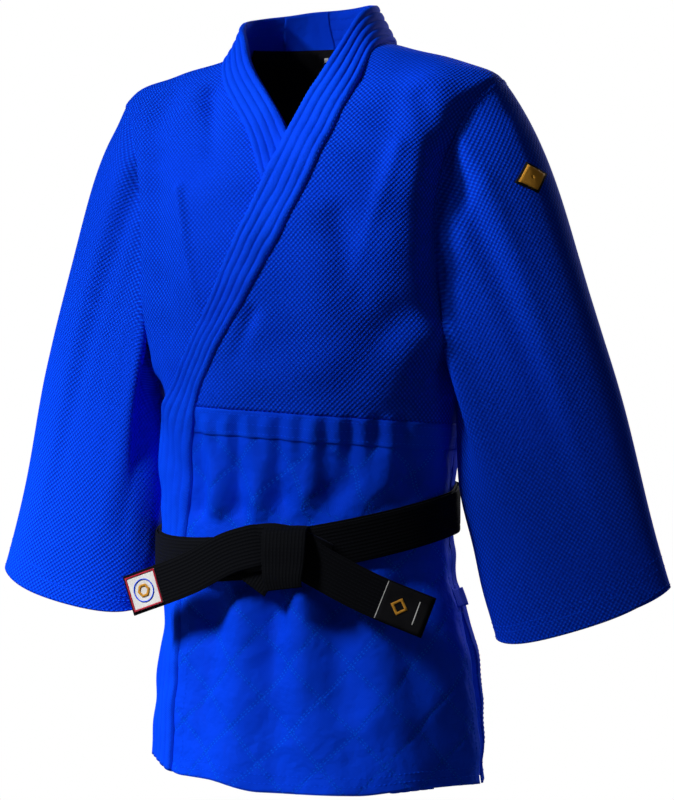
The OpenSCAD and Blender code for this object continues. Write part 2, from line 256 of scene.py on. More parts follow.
def grid_faces(rows, cols, start, closed_u):
    """The quads of a grid whose first point has the index start."""
    last = cols if closed_u else cols - 1
    return [[a + i, a + (i + 1) % cols, a + cols + (i + 1) % cols, a + cols + i]
            for a in range(start, start + (rows - 1) * cols, cols) for i in range(last)]


def rim_faces(rows, cols, n, closed_u):
    """The quads that close the edges between an outer grid and an inner one."""
    last = cols if closed_u else cols - 1
    faces = [[a + i, n + a + i, n + a + (i + 1) % cols, a + (i + 1) % cols]
             for a in (0, (rows - 1) * cols) for i in range(last)]
    if not closed_u:
        faces += [[a, n + a, n + a + cols, a + cols]
                  for side in (0, cols - 1)
                  for a in range(side, side + (rows - 1) * cols, cols)]
    return faces


def mesh_piece(name, verts, faces, uv, material):
    """A closed mesh in metres. uv holds one pair for each vertex, in metres of cloth."""
    mesh = bpy.data.meshes.new(name)
    mesh.from_pydata((np.asarray(verts) * MM).tolist(), [], faces)
    loops = np.zeros(len(mesh.loops), np.int32)
    mesh.loops.foreach_get("vertex_index", loops)
    layer = mesh.uv_layers.new(name="UVMap")
    layer.data.foreach_set("uv", np.asarray(uv, np.float32)[loops].ravel())
    work = bmesh.new()
    work.from_mesh(mesh)
    bmesh.ops.recalc_face_normals(work, faces=work.faces)
    work.to_mesh(mesh)
    work.free()
    mesh.polygons.foreach_set("use_smooth", [True] * len(mesh.polygons))
    mesh.materials.append(material)
    mesh.update()
    obj = bpy.data.objects.new(name, mesh)
    bpy.context.scene.collection.objects.link(obj)
    return obj


def lengths(points):
    """How far along a line of points each one is."""
    steps = np.linalg.norm(np.diff(points, axis=0), axis=-1)
    return np.concatenate([[0], np.cumsum(steps)])


def at_lengths(points, at, where):
    """Values at some lengths along a line whose points lie at the lengths at."""
    return np.stack([np.interp(where, at, column) for column in points.T], axis=-1)


def cloth_uv(grid):
    """Lengths along the cloth, in metres, taken on its middle row and middle column."""
    rows, cols = grid.shape[:2]
    u, v = np.meshgrid(lengths(grid[rows // 2]) * MM, lengths(grid[:, cols // 2]) * MM)
    return np.stack([u, v], axis=-1)


def grid_normal(grid, closed_u=False, centre=None):
    """The outward normal at each point of a grid; centre is a point inside each row."""
    if closed_u:
        du = np.roll(grid, -1, axis=1) - np.roll(grid, 1, axis=1)
    else:
        du = np.gradient(grid, axis=1)
    normal = unit(np.cross(np.gradient(grid, axis=0), du))
    if centre is None:
        centre = grid * np.array([0, 0, 1])
    return normal if (normal * (grid - centre)).sum() > 0 else -normal


def shell(name, grid, thickness, material, closed_u=False, centre=None, uv=None):
    """A layer of real thickness: the grid is its outer face, and rows run along it."""
    rows, cols = grid.shape[:2]
    inner = grid - grid_normal(grid, closed_u, centre) * thickness
    n = rows * cols
    verts = np.concatenate([grid.reshape(-1, 3), inner.reshape(-1, 3)])
    faces = (grid_faces(rows, cols, 0, closed_u) + grid_faces(rows, cols, n, closed_u)
             + rim_faces(rows, cols, n, closed_u))
    uv = cloth_uv(grid) if uv is None else uv
    return mesh_piece(name, verts, faces, np.concatenate([uv.reshape(-1, 2)] * 2), material)


def assign(obj, body, nodes=()):
    """The body a piece rides on, when one is given, and the nodes it stands for, which are
    hidden.
    """
    if body:
        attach(obj, body)
    if nodes:
        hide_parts(*nodes)


def stitches(name, lines, material, length=3.4, gap=1.6, width=0.55, height=0.5):
    """Rows of short thread stitches. Each line is points and the normals at them.

    A stitch is two diamond-shaped rings across the thread, each drawn out to a point."""
    verts, faces = [], []
    for points, normals in lines:
        at = lengths(points)
        count = int(at[-1] // (length + gap))
        for k in range(count):
            middle_at = (k + 0.5) * (length + gap)
            p, q, r = (at_lengths(points, at, middle_at + d)
                       for d in (0, -length / 2, length / 2))
            n = unit(at_lengths(normals, at, middle_at))
            t = unit(r - q)
            b = np.cross(t, n)
            base = len(verts)
            verts.append(p - t * length / 2)
            for d in (-0.25, 0.25):
                for side, up in ((1, 0), (0, 1), (-1, 0), (0, -1)):
                    verts.append(p + t * d * length + b * side * width + n * up * height)
            verts.append(p + t * length / 2)
            for i in range(4):
                j = (i + 1) % 4
                faces.append([base, base + 1 + i, base + 1 + j])
                faces.append([base + 1 + i, base + 5 + i, base + 5 + j, base + 1 + j])
                faces.append([base + 5 + i, base + 9, base + 5 + j])
    return mesh_piece(name, verts, faces, np.zeros((len(verts), 2)), material)


# ---- Camera, light and floor ----

CAMERA_AZIMUTH = math.radians(20)
CAMERA_DISTANCE = 2.5
SENSOR = 36                  # the picture's longer side on the sensor, in mm, as is the lens
VIEW_HEIGHT = 0.84           # what the picture takes in at the body, in metres
AIM = (0.027, -0.365)        # how far right of the body's middle, and at what height
CAMERA_Z = -0.40


def add_camera():
    right = Vector((math.cos(CAMERA_AZIMUTH), math.sin(CAMERA_AZIMUTH), 0))
    back = Vector((math.sin(CAMERA_AZIMUTH), -math.cos(CAMERA_AZIMUTH), 0))
    target = right * AIM[0] + Vector((0, 0, AIM[1]))
    place = right * AIM[0] + back * CAMERA_DISTANCE + Vector((0, 0, CAMERA_Z))
    data = bpy.data.cameras.new("camera")
    camera = bpy.data.objects.new("camera", data)
    bpy.context.scene.collection.objects.link(camera)
    camera.location = place
    camera.rotation_euler = (target - place).to_track_quat("-Z", "Y").to_euler()
    data.sensor_width = SENSOR
    data.lens = SENSOR * CAMERA_DISTANCE / VIEW_HEIGHT
    bpy.context.scene.camera = camera


def aim_light(data, place, aim, watts):
    data.energy = watts
    light = bpy.data.objects.new(data.name, data)
    bpy.context.scene.collection.objects.link(light)
    light.location = place
    light.rotation_euler = (Vector(aim) - Vector(place)).to_track_quat("-Z", "Y").to_euler()


def add_light(name, place, aim, size, watts):
    data = bpy.data.lights.new(name, "AREA")
    data.size = size
    aim_light(data, place, aim, watts)


def add_spot(name, place, aim, degrees, radius, watts):
    """A lamp whose beam falls off softly to its edge."""
    data = bpy.data.lights.new(name, "SPOT")
    data.spot_size = math.radians(degrees)
    data.spot_blend = 1.0
    data.shadow_soft_size = radius
    aim_light(data, place, aim, watts)


def add_world():
    """A white studio to the camera, and a weak fill to the cloth."""
    world = bpy.data.worlds.new("studio")
    world.use_nodes = True
    nodes, links = world.node_tree.nodes, world.node_tree.links
    nodes.clear()
    out = nodes.new("ShaderNodeOutputWorld")
    seen, fill = nodes.new("ShaderNodeBackground"), nodes.new("ShaderNodeBackground")
    seen.inputs["Color"].default_value = (1, 1, 1, 1)
    fill.inputs["Color"].default_value = (1, 1, 1, 1)
    fill.inputs["Strength"].default_value = 0.03
    rays, mix = nodes.new("ShaderNodeLightPath"), nodes.new("ShaderNodeMixShader")
    links.new(rays.outputs["Is Camera Ray"], mix.inputs["Fac"])
    links.new(fill.outputs[0], mix.inputs[1])
    links.new(seen.outputs[0], mix.inputs[2])
    links.new(mix.outputs[0], out.inputs["Surface"])
    bpy.context.scene.world = world


def add_floor():
    mesh = bpy.data.meshes.new("floor")
    radius, z, count = 0.85, HEM_Z * MM - 0.16, 96
    turns = [2 * math.pi * k / count for k in range(count)]
    mesh.from_pydata([(radius * math.cos(t), radius * math.sin(t), z) for t in turns],
                     [], [range(count)])
    floor = bpy.data.objects.new("floor", mesh)
    bpy.context.scene.collection.objects.link(floor)
    paint = bpy.data.materials.new("floor_paint")
    paint.use_nodes = True
    shader = paint.node_tree.nodes["Principled BSDF"]
    shader.inputs["Base Color"].default_value = (0.35, 0.35, 0.35, 1)
    shader.inputs["Roughness"].default_value = 0.9
    mesh.materials.append(paint)


add_camera()
add_world()
add_floor()
add_spot("key", (-1.75, -1.95, 1.25), (-0.73, -0.05, -0.62), 36, 0.4, 950)
add_spot("chest", (-1.75, -1.7, 0.95), (0.06, -0.1, -0.03), 11, 0.2, 540)
add_light("fill", (2.9, -1.1, 0.2), (0.2, 0, -0.4), 1.0, 2.5)
add_light("back", (0.6, 2.6, 0.8), (0, 0, -0.4), 1.4, 40)
bpy.context.scene.view_settings.view_transform = "Standard"


# ---- Materials ----

class Shader:
    """A node material built from short calls. Lengths in it are metres of cloth."""

    def __init__(self, name, roughness, sheen, sheen_tint, specular=0.04):
        self.material = bpy.data.materials.new(name)
        self.material.use_nodes = True
        self.nodes, self.links = self.material.node_tree.nodes, self.material.node_tree.links
        self.bsdf = self.nodes["Principled BSDF"]
        self.bsdf.inputs["Roughness"].default_value = roughness
        self.bsdf.inputs["Specular IOR Level"].default_value = specular
        self.bsdf.inputs["Sheen Weight"].default_value = sheen
        self.bsdf.inputs["Sheen Tint"].default_value = (*sheen_tint, 1)
        self.u, self.v = self.cloth_place()
        self.height = None

    def cloth_place(self):
        uv = self.nodes.new("ShaderNodeUVMap")
        uv.uv_map = "UVMap"
        parts = self.nodes.new("ShaderNodeSeparateXYZ")
        self.links.new(uv.outputs["UV"], parts.inputs["Vector"])
        return parts.outputs["X"], parts.outputs["Y"]

    def math(self, operation, *values):
        node = self.nodes.new("ShaderNodeMath")
        node.operation = operation
        for i, value in enumerate(values):
            if isinstance(value, (int, float)):
                node.inputs[i].default_value = value
            else:
                self.links.new(value, node.inputs[i])
        return node.outputs[0]

    def wave(self, along, pitch):
        """A cosine with that pitch in metres."""
        return self.math("COSINE", self.math("MULTIPLY", along, 2 * math.pi / pitch))

    def step(self, value, low, high):
        """0 below low, 1 above high and smooth between."""
        node = self.nodes.new("ShaderNodeMapRange")
        node.interpolation_type = "SMOOTHSTEP"
        self.links.new(value, node.inputs["Value"])
        node.inputs["From Min"].default_value = low
        node.inputs["From Max"].default_value = high
        return node.outputs["Result"]

    def noise(self, scale, detail=2.0):
        where = self.nodes.new("ShaderNodeTexCoord")
        node = self.nodes.new("ShaderNodeTexNoise")
        self.links.new(where.outputs["Object"], node.inputs["Vector"])
        node.inputs["Scale"].default_value = scale
        node.inputs["Detail"].default_value = detail
        return node.outputs["Fac"]

    def mix(self, factor, a, b):
        node = self.nodes.new("ShaderNodeMix")
        node.data_type = "RGBA"
        self.links.new(factor, node.inputs["Factor"])
        for socket, value in ((node.inputs["A"], a), (node.inputs["B"], b)):
            if isinstance(value, tuple):
                socket.default_value = (*value, 1)
            else:
                self.links.new(value, socket)
        return node.outputs["Result"]

    def paint(self, colour):
        self.links.new(colour, self.bsdf.inputs["Base Color"])

    def bump(self, height, metres, strength=1.0):
        node = self.nodes.new("ShaderNodeBump")
        node.inputs["Distance"].default_value = metres
        node.inputs["Strength"].default_value = strength
        self.links.new(height, node.inputs["Height"])
        if self.height is not None:
            self.links.new(self.height, node.inputs["Normal"])
        self.height = node.outputs["Normal"]
        self.links.new(self.height, self.bsdf.inputs["Normal"])


BLUE_LIGHT = (0.0, 0.078, 1.0)
BLUE = (0.0, 0.046, 0.78)
BLUE_GAP = (0.0, 0.026, 0.50)
BLUE_GRAIN = (0.0, 0.1, 1.0)
STITCH_BLUE = (0.0, 0.14, 1.0)
QUILT_BLUE = (0.0, 0.054, 0.86)
SHEEN_BLUE = (0.0, 0.12, 1.0)


def rice_weave():
    """Staggered raised grains, the double weave of the upper jacket and sleeves."""
    s = Shader("rice_weave", 0.8, 0.12, SHEEN_BLUE)
    grains = s.math("MULTIPLY", s.wave(s.u, 0.0050), s.wave(s.v, 0.0052))
    fibres = s.wave(s.math("ADD", s.u, s.v), 0.0011)
    tone = s.mix(s.step(grains, -0.6, 0.3), BLUE_GAP, BLUE)
    tone = s.mix(s.step(grains, 0.25, 0.85), tone, BLUE_GRAIN)
    tone = s.mix(s.step(s.noise(9.0, 4.0), 0.35, 0.85), tone, BLUE)
    s.paint(tone)
    s.bump(grains, 0.00045)
    s.bump(fibres, 0.00012, 0.5)
    return s.material


def twill(name, pitch):
    """Close twill, a little puckered."""
    s = Shader(name, 0.75, 0.12, SHEEN_BLUE)
    ribs = s.wave(s.math("ADD", s.u, s.v), pitch)
    tone = s.mix(s.step(ribs, -0.9, 0.9), BLUE, BLUE_LIGHT)
    tone = s.mix(s.step(s.noise(12.0, 3.0), 0.3, 0.8), tone, BLUE)
    s.paint(tone)
    s.bump(ribs, 0.00025, 0.6)
    s.bump(s.noise(36.0, 4.0), 0.0035, 0.9)
    return s.material


QUILT = 0.066         # the distance between quilting lines along the cloth, in metres


def quilted():
    """Twill with twin dotted rows of stitches along crossing diagonals."""
    s = Shader("quilted_twill", 0.72, 0.12, SHEEN_BLUE)
    ribs = s.wave(s.math("ADD", s.u, s.v), 0.0019)
    rise, fall = s.math("ADD", s.u, s.v), s.math("SUBTRACT", s.u, s.v)
    threads = None
    for line, along in ((rise, fall), (fall, rise)):
        near = s.math("SUBTRACT", s.step(s.wave(line, QUILT), 0.962, 0.976),
                      s.step(s.wave(line, QUILT), 0.992, 0.998))
        dots = s.math("MULTIPLY", near, s.step(s.wave(along, 0.0062), -0.1, 0.5))
        threads = dots if threads is None else s.math("MAXIMUM", threads, dots)
    tone = s.mix(s.step(ribs, -0.9, 0.9), QUILT_BLUE, BLUE)
    tone = s.mix(s.step(s.noise(8.0, 3.0), 0.3, 0.8), tone, QUILT_BLUE)
    s.paint(s.mix(s.math("MULTIPLY", threads, 0.8), tone, STITCH_BLUE))
    s.bump(ribs, 0.0002, 0.5)
    s.bump(threads, 0.0006)
    s.bump(s.noise(30.0, 5.0), 0.0075, 0.9)
    return s.material


def belt_tape():
    s = Shader("belt_tape", 0.75, 0.03, (0.5, 0.55, 0.7), 0.05)
    rows = s.wave(s.v, 0.0035)
    dash = s.step(s.wave(s.u, 0.0036), -0.3, 0.3)
    thread = s.math("MULTIPLY", s.step(rows, 0.6, 0.95), dash)
    s.paint(s.mix(thread, (0.0022, 0.0026, 0.0042), (0.0060, 0.0070, 0.0100)))
    s.bump(rows, 0.00014)
    s.bump(s.wave(s.u, 0.0012), 0.0001, 0.6)
    return s.material


def plain_cloth(name, light, dark, roughness=0.8, sheen=0.1, pitch=0.0012):
    """Close plain weave in two tones."""
    s = Shader(name, roughness, sheen, light)
    weave = s.math("MULTIPLY", s.wave(s.u, pitch), s.wave(s.v, pitch))
    tone = s.mix(s.step(weave, -0.8, 0.8), dark, light)
    s.paint(s.mix(s.step(s.noise(30.0), 0.35, 0.7), tone, light))
    s.bump(weave, 0.00015, 0.7)
    return s.material


RICE = rice_weave()
TWILL = twill("close_twill", 0.0022)
COLLAR = twill("collar_twill", 0.0018)
QUILTED = quilted()
TAPE = belt_tape()
BLACK = plain_cloth("black_cotton", (0.012, 0.012, 0.014), (0.004, 0.004, 0.005))
GOLD = plain_cloth("gold_thread", (0.75, 0.36, 0.045), (0.45, 0.19, 0.02), 0.5, 0.2, 0.0009)
WHITE = plain_cloth("white_thread", (0.86, 0.86, 0.84), (0.6, 0.6, 0.6), 0.7)
RED = plain_cloth("red_thread", (0.55, 0.03, 0.06), (0.3, 0.01, 0.03), 0.6)
THREAD = plain_cloth("blue_thread", (0.0, 0.075, 0.95), (0.0, 0.035, 0.55), 0.6, 0.2)


# ---- How the cloth falls: ridges and valleys shared by every layer of the torso ----

# Each fold runs from its first point, where it is deepest, to its second: (x, z), (x, z),
# half width and height, in mm.
CHEST_FOLDS = [
    ((150, -45), (96, -330), 26, 3.0),
    ((118, -70), (72, -300), 22, -2.2),
    ((172, -120), (150, -370), 17, -7.0),
    ((186, -250), (128, -385), 18, 4.0),
    ((-150, -120), (-118, -340), 19, -5.0),
    ((-172, -90), (-142, -300), 17, 3.5),
    ((-178, -250), (-128, -385), 16, 4.0),
    ((-140, -42), (-176, -112), 17, -4.0),
    ((70, -185), (88, -265), 14, -2.4),
    ((-90, -45), (-76, -110), 10, -4.0),
    ((-16, -280), (-33, -320), 8, -3.5),
    ((126, -284), (78, -345), 18, -3.6),
    ((148, -300), (104, -360), 17, 2.8),
    ((142, -65), (158, -125), 12, -2.8),
    ((-110, -149), (-80, -280), 6, 3.0),
    ((123, -116), (81, -263), 8, 1.6),
    ((158, -330), (60, -470), 17, -3.4),
    ((-150, -350), (-90, -470), 13, -4.0),
]
GATHERS = [
    ((-84, -478), (-78, -404), 10, -4.0),
    ((-60, -478), (-62, -396), 11, 5.0),
    ((-38, -480), (-42, -400), 9, -4.0),
    ((-15, -482), (-12, -392), 10, 5.0),
    ((10, -484), (2, -404), 10, -4.5),
    ((34, -482), (40, -396), 11, 5.0),
    ((62, -480), (74, -400), 13, -4.0),
    ((95, -476), (112, -398), 15, 4.5),
    ((126, -470), (140, -400), 13, -4.0),
]
PLEATS = [((1.05 * x, -388), (x, -452), 5.5, 2.4 if x % 2 else -2.4)
          for x in range(-78, 125, 11)]
SKIRT_FOLDS = [
    ((-90, -556), (-122, -770), 20, 4.5),
    ((-60, -552), (-76, -760), 16, -5.0),
    ((-30, -560), (-34, -770), 17, 5.0),
    ((2, -560), (8, -768), 14, -4.5),
    ((30, -562), (44, -772), 17, 4.5),
    ((62, -560), (88, -770), 17, -5.0),
    ((96, -556), (126, -765), 20, 4.5),
    ((122, -550), (156, -760), 14, -4.0),
]
BACK_FOLDS = [((side * x0, z0), (side * x1, z1), width, height)
              for side in (1, -1)
              for x0, z0, x1, z1, width, height in (
                  (120, -90, 70, -380, 24, 5.0), (165, -120, 120, -380, 20, -6.0),
                  (60, -480, 85, -390, 14, 5.0), (100, -478, 125, -396, 14, -5.0))]
BACK_FOLDS += [
    ((0, -40), (0, -330), 34, -3.5),
    ((20, -484), (26, -396), 12, -4.5),
    ((-22, -484), (-30, -396), 12, -4.5),
    ((-100, -520), (-135, -768), 22, 7.0),
    ((-55, -520), (-70, -768), 20, -7.0),
    ((-8, -520), (-12, -768), 22, 7.0),
    ((40, -520), (54, -768), 20, -7.0),
    ((92, -520), (122, -768), 24, 7.0),
]


def belt_mid(x, y):
    """The height of the belt's middle line, which is low at the front."""
    return -497 + 0.12 * x + 0.2 * y


def drape(u, z):
    """How far the cloth stands off the form. It lies on it under the belt and at the neck."""
    place = on_form(u, z)
    x, y, z = place[..., 0], place[..., 1], place[..., 2]
    front = smooth((np.sin(np.radians(u)) + 0.15) / 0.3)
    fall = (front * (1.6 * folds(x, z, CHEST_FOLDS) + 1.9 * folds(x, z, GATHERS)
                     + folds(x, z, PLEATS) + 1.5 * folds(x, z, SKIRT_FOLDS))
            + (1 - front) * folds(x, z, BACK_FOLDS))
    fall = fall + waves(x * 1.2, z * 0.6, 5, 120, 1.4) + waves(x, z, 11, 46, 1.1)
    # The hem goes in and out as it runs round.
    hem = smooth((-z - 640) / 110)
    fall = fall + hem * (2.5 * np.sin(np.radians(u) * 7 + 0.6) + 1.5 * np.sin(np.radians(u) * 11))
    from_belt = np.abs(z - belt_mid(x, y)) - BELT_W / 2
    collar = smooth((-z - 8) / 50)
    return fall * smooth(from_belt / 34) * collar


def rows_between(z0, z1, spacing):
    return np.linspace(z0, z1, max(3, int(abs(z1 - z0) / spacing) + 1))


def panel_grid(z, u_start, u_end, cols, off, ramp=0.0):
    """Rows at the heights z, columns between two angles, each one number or one a row.

    Where there is a ramp, the offset grows from zero over that many degrees at the start."""
    u_start, u_end = (np.broadcast_to(u, z.shape)[:, None] for u in (u_start, u_end))
    u = u_start + (u_end - u_start) * np.linspace(0, 1, cols)
    level = np.full(u.shape, float(off)) * neck_ramp(z)[:, None]
    if ramp:
        level = level * smooth(np.abs(u - u_start) / ramp)
    height = np.broadcast_to(z[:, None], u.shape)
    return form_at(u, height, level + drape(u, height) + CLOTH_T)


def side_angle(z):
    """Where the front and the back meet: the armhole, and elsewhere the side seam."""
    return angle_of_y(armhole_y(z), z)


def left_edge(z):
    """The angle at which the left front is sewn to its lapel."""
    return angle_of_x(over_sewn_x(z), z)


def right_edge(z):
    return angle_of_x(under_sewn_x(z), z)


# ---- Front and back panels of the body ----

def lengths_up(z):
    """How far up the cloth each height is, taken a third of the way from front to side."""
    return lengths(on_form(60.0, z))


def body_rows():
    """Heights of the rows, close together on the shoulder, where the form turns over."""
    z = np.linspace(SEAM_Z, 1.0, 400)
    at = lengths_up(z)
    return np.interp(np.linspace(0, at[-1], 110), at, z)


def upright_uv(grid, z, turned):
    """Cloth lengths that keep the weave upright on a panel whose side runs aslant.

    They start at the middle of the body: at the last column of a front panel, whose way
    outwards is turned (1 or -1), and at the middle column of the back, which has 0."""
    across = np.array([lengths(row) for row in grid])
    if turned:
        across = grid[:, -1:, 0] + turned * (across[:, -1:] - across)
    else:
        across = across - across[:, grid.shape[1] // 2][:, None]
    up = np.broadcast_to(lengths_up(z)[:, None], across.shape)
    return np.stack([across, up], axis=-1) * MM


def add_panel(name, nodes, grid, material, body="jacket", uv=None):
    """A layer of cloth whose outer face is the grid, and which stands for some nodes."""
    obj = shell(name, grid, CLOTH_T, material, uv=uv)
    assign(obj, body, nodes)
    return obj


BODY_Z = body_rows()
SEAM_LAP = 1.5      # how many degrees a front runs on under its lapel
SIDE_RAMP = 15      # over how many degrees from the side the left front comes out
LEFT_FRONT = panel_grid(BODY_Z, side_angle(BODY_Z), left_edge(BODY_Z) + SEAM_LAP, 110, OVER_OFF,
                        SIDE_RAMP)
RIGHT_FRONT = panel_grid(BODY_Z, 180 - side_angle(BODY_Z), right_edge(BODY_Z) - SEAM_LAP, 110, 0)
BACK = panel_grid(BODY_Z, 180 + side_angle(BODY_Z), 360 - side_angle(BODY_Z), 180, 0)
for panel_name, panel_node, panel, panel_turned in (
        ("left_front_panel", "left_front_body", LEFT_FRONT, 1),
        ("right_front_panel", "right_front_body", RIGHT_FRONT, -1),
        ("back_panel", "back_body", BACK, 0)):
    add_panel(panel_name, [panel_node], panel, RICE,
              uv=upright_uv(panel, BODY_Z, panel_turned))

# The lining covers the upper back from inside, 12 degrees short of each side.
LINING = panel_grid(rows_between(-240, 12, 5), 180 + 12, 360 - 12, 90, 0)
LINING = LINING - grid_normal(LINING) * (CLOTH_T + 1.2)
add_panel("yoke_lining", ["back_lining"], LINING, BLACK)


# ---- The waist band and the skirt ----

BAND_LAP = 7


def waist_band(name, node, u_start, u_end, off, ramp):
    """The strip over the waist seam, with three rows of stitches. It laps over the skirt."""
    z = rows_between(BAND_Z - BAND_LAP, SEAM_Z, 2.2)
    grid = panel_grid(z, u_start, u_end(z), 130, off, ramp)
    grid = grid + grid_normal(grid) * 0.5
    add_panel(name, [node], grid, TWILL)
    normal = grid_normal(grid)
    rows = [2, len(z) // 2, len(z) - 3]
    thread = stitches(name + "_stitches", [(grid[j], normal[j]) for j in rows], THREAD)
    assign(thread, "jacket")


waist_band("left_waist_strip", "left_waist_band", 0.0, lambda z: left_edge(z) + SEAM_LAP,
           OVER_OFF, SIDE_RAMP)
waist_band("right_waist_strip", "right_waist_band", 180.0, lambda z: right_edge(z) - SEAM_LAP,
           0, 0)
waist_band("back_waist_strip", "back_waist_band", 180.0, lambda z: 360.0, 0, 0)


GROOVE_DEPTH = 0.5        # the grooves along the quilting lines
GROOVE_HALF_W = 3.2


def swing_with(obj):
    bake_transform(obj)


def skirt_slit(z, gap):
    """How far the edge of a panel has drawn away from the side, in degrees."""
    return gap * smooth((SLIT_Z - z) / 60)


def skirt_panel(name, nodes, u_start, u_end, off, ramp, swing, turned):
    """A quilted panel from the waist band to the hem, in one piece across the bend line."""
    z = rows_between(BAND_Z, HEM_Z + 1, 3.0)
    grid = panel_grid(z, u_start(z), u_end(z), 150, off, ramp)
    uv = upright_uv(grid, z, turned)
    for line in (uv[..., 0] + uv[..., 1], uv[..., 0] - uv[..., 1]):
        away = np.abs((line / QUILT + 0.5) % 1 - 0.5) * QUILT / MM
        groove = GROOVE_DEPTH * bell(away / GROOVE_HALF_W)
        grid = grid - grid_normal(grid) * groove[..., None]
    obj = add_panel(name, nodes, grid, QUILTED, None, uv)
    swing_with(obj)
    return grid


def hem_stitches(name, grid):
    """Two rows along the hem and one down each side."""
    normal = grid_normal(grid)
    lines = [(grid[j], normal[j]) for j in (-4, -7)]
    low = grid.shape[0] * 2 // 5
    lines += [(grid[low:-1, i], normal[low:-1, i]) for i in (7, -8)]
    thread = stitches(name, lines, THREAD)
    swing_with(thread)


# Each skirt: where it starts and ends round the form, its offset and ramp, its body and the
# way outwards of its cloth, as upright_uv() takes it.
SKIRTS = {
    "left_front": (lambda z: skirt_slit(z, 4.5), lambda z: left_edge(z) + SEAM_LAP,
                   OVER_OFF, SIDE_RAMP, "front_skirt", 1),
    "right_front": (lambda z: 180 - skirt_slit(z, 4.5), lambda z: right_edge(z) - SEAM_LAP,
                    0, 0, "front_skirt", -1),
    "back": (lambda z: 180 + skirt_slit(z, 3.5), lambda z: 360 - skirt_slit(z, 3.5),
             0, 0, "back_skirt", 0),
}
SKIRT_GRIDS = {part: skirt_panel(part + "_hang", [part + "_skirt", part + "_flap"], *shape)
               for part, shape in SKIRTS.items()}
for part, skirt_grid in SKIRT_GRIDS.items():
    hem_stitches(part + "_hang_stitches", skirt_grid)


# ---- Collar and lapels: one padded band from hem to hem round the neck ----

CHANNELS = 5
PUFF = 1.9                          # how deep the valleys between the channels are
BAND_COLS = 46
LAPEL_ROWS = 230                    # the rows along each lapel
NECK_ROWS = 88                      # the rows round the neck, between the lapels
INSIDE_ROWS = slice(LAPEL_ROWS - 15, LAPEL_ROWS + NECK_ROWS + 14)     # stitched inside too
WIDTH_ROW = LAPEL_ROWS + 70         # where the band's width is measured, at the neck's right


def edge_line(edge_x, top):
    """Angles and heights of one lapel edge, from the hem up to the neck."""
    z = np.linspace(HEM_Z, top, 900)
    return np.stack([angle_of_x(edge_x(z), z), z], axis=-1)


def even(path, count):
    """Points of a path of angles and heights, evenly spaced on the form."""
    at = lengths(on_form(path[:, 0], path[:, 1]))
    return at_lengths(path, at, np.linspace(0, at[-1], count))


def band_edge(over_x, under_x, top):
    """An edge of the whole band: up the left lapel, round the neck, down the right lapel."""
    up = even(edge_line(over_x, top), LAPEL_ROWS)
    neck_u = np.linspace(0, -180, NECK_ROWS + 2)[1:-1]
    neck = np.stack([neck_u, np.full(NECK_ROWS, top)], axis=-1)
    down = even(edge_line(under_x, top)[::-1], LAPEL_ROWS)
    return np.concatenate([up, neck, down - [360, 0]])


def lapel_offset(path):
    """The left lapel lies over the right front, and both lie on the form at the neck."""
    left = np.arange(len(path)) < LAPEL_ROWS
    return np.where(left, OVER_OFF * neck_ramp(path[:, 1]), 0.0)


def band_profile(c):
    """Height of the padded band across it: rolled edges and puffed channels."""
    edge = 1 - np.clip(np.abs(2 * c - 1) * 1.02, 0, 1) ** 14
    puff = np.abs(np.sin(np.pi * CHANNELS * c)) ** 0.45
    return np.sqrt(edge) * (COLLAR_T - PUFF + PUFF * puff)


def even_along(base, weight):
    """Smooth the band along its length where it has weight, so that its turns are gentle."""
    reach = 8
    kernel = bell(np.arange(-reach, reach + 1) / 4.5)
    kernel = kernel / kernel.sum()
    padded = np.pad(base, ((reach, reach), (0, 0), (0, 0)), "edge")
    soft = sum(k * padded[i:i + len(base)] for i, k in enumerate(kernel))
    return base * (1 - weight) + soft * weight


def collar_grid():
    """The band's two faces. It lies on the form over the chest and stands free at the neck."""
    sewn = band_edge(over_sewn_x, under_sewn_x, 2.0)
    free = band_edge(over_free_x, under_free_x, COLLAR_H)
    off = lapel_offset(sewn)[:, None]
    across = np.linspace(0, 1, BAND_COLS)
    share = across[None, :, None]
    place = sewn[:, None, :] * (1 - share) + free[:, None, :] * share
    u, z = place[..., 0], place[..., 1]
    laid = form_at(u, z, off + drape(u, z))
    ruled = laid[:, :1] * (1 - share) + laid[:, -1:] * share
    stands = smooth((sewn[:, 1] + 120) / 80)[:, None, None]
    base = even_along(laid * (1 - stands) + ruled * stands, stands)
    normal = grid_normal(base)
    profile = band_profile(across)[None, :, None]
    # The channels show on the inside too where the band stands free.
    outer = base + normal * (0.35 + profile)
    inner = base + normal * (0.25 - 0.3 * stands * (profile - profile.min()))
    return outer, inner


def add_collar():
    outer, inner = collar_grid()
    ring = np.concatenate([outer, inner[:, 1:-1][:, ::-1]], axis=1)
    rows, cols = ring.shape[:2]
    faces = grid_faces(rows, cols, 0, True)
    faces.append(list(range(cols)))
    faces.append([(rows - 1) * cols + i for i in range(cols)][::-1])
    along = lengths(outer[:, BAND_COLS // 2]) * MM
    across = lengths(outer[WIDTH_ROW]) * MM
    round_band = np.concatenate([across, across[1:-1][::-1]])
    uv = np.stack(np.meshgrid(round_band, along), axis=-1).reshape(-1, 2)
    obj = mesh_piece("collar_band", ring.reshape(-1, 3), faces, uv, COLLAR)
    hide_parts("left_lapel", "right_lapel", "left_lapel_core", "right_lapel_core",
                "neck_band", "neck_band_core", "left_lapel_tail", "right_lapel_tail")
    swing_with(obj)
    normal = grid_normal(outer)
    lines = []
    for k in range(CHANNELS + 1):
        c = min(max(k / CHANNELS, 0.035), 0.965)
        i = int(round(c * (BAND_COLS - 1)))
        lines.append((outer[:, i], normal[:, i]))
        lines.append((inner[INSIDE_ROWS, i], -normal[INSIDE_ROWS, i]))
    thread = stitches("collar_stitches", lines, THREAD, 3.0, 1.8, 0.4, 0.4)
    swing_with(thread)


add_collar()


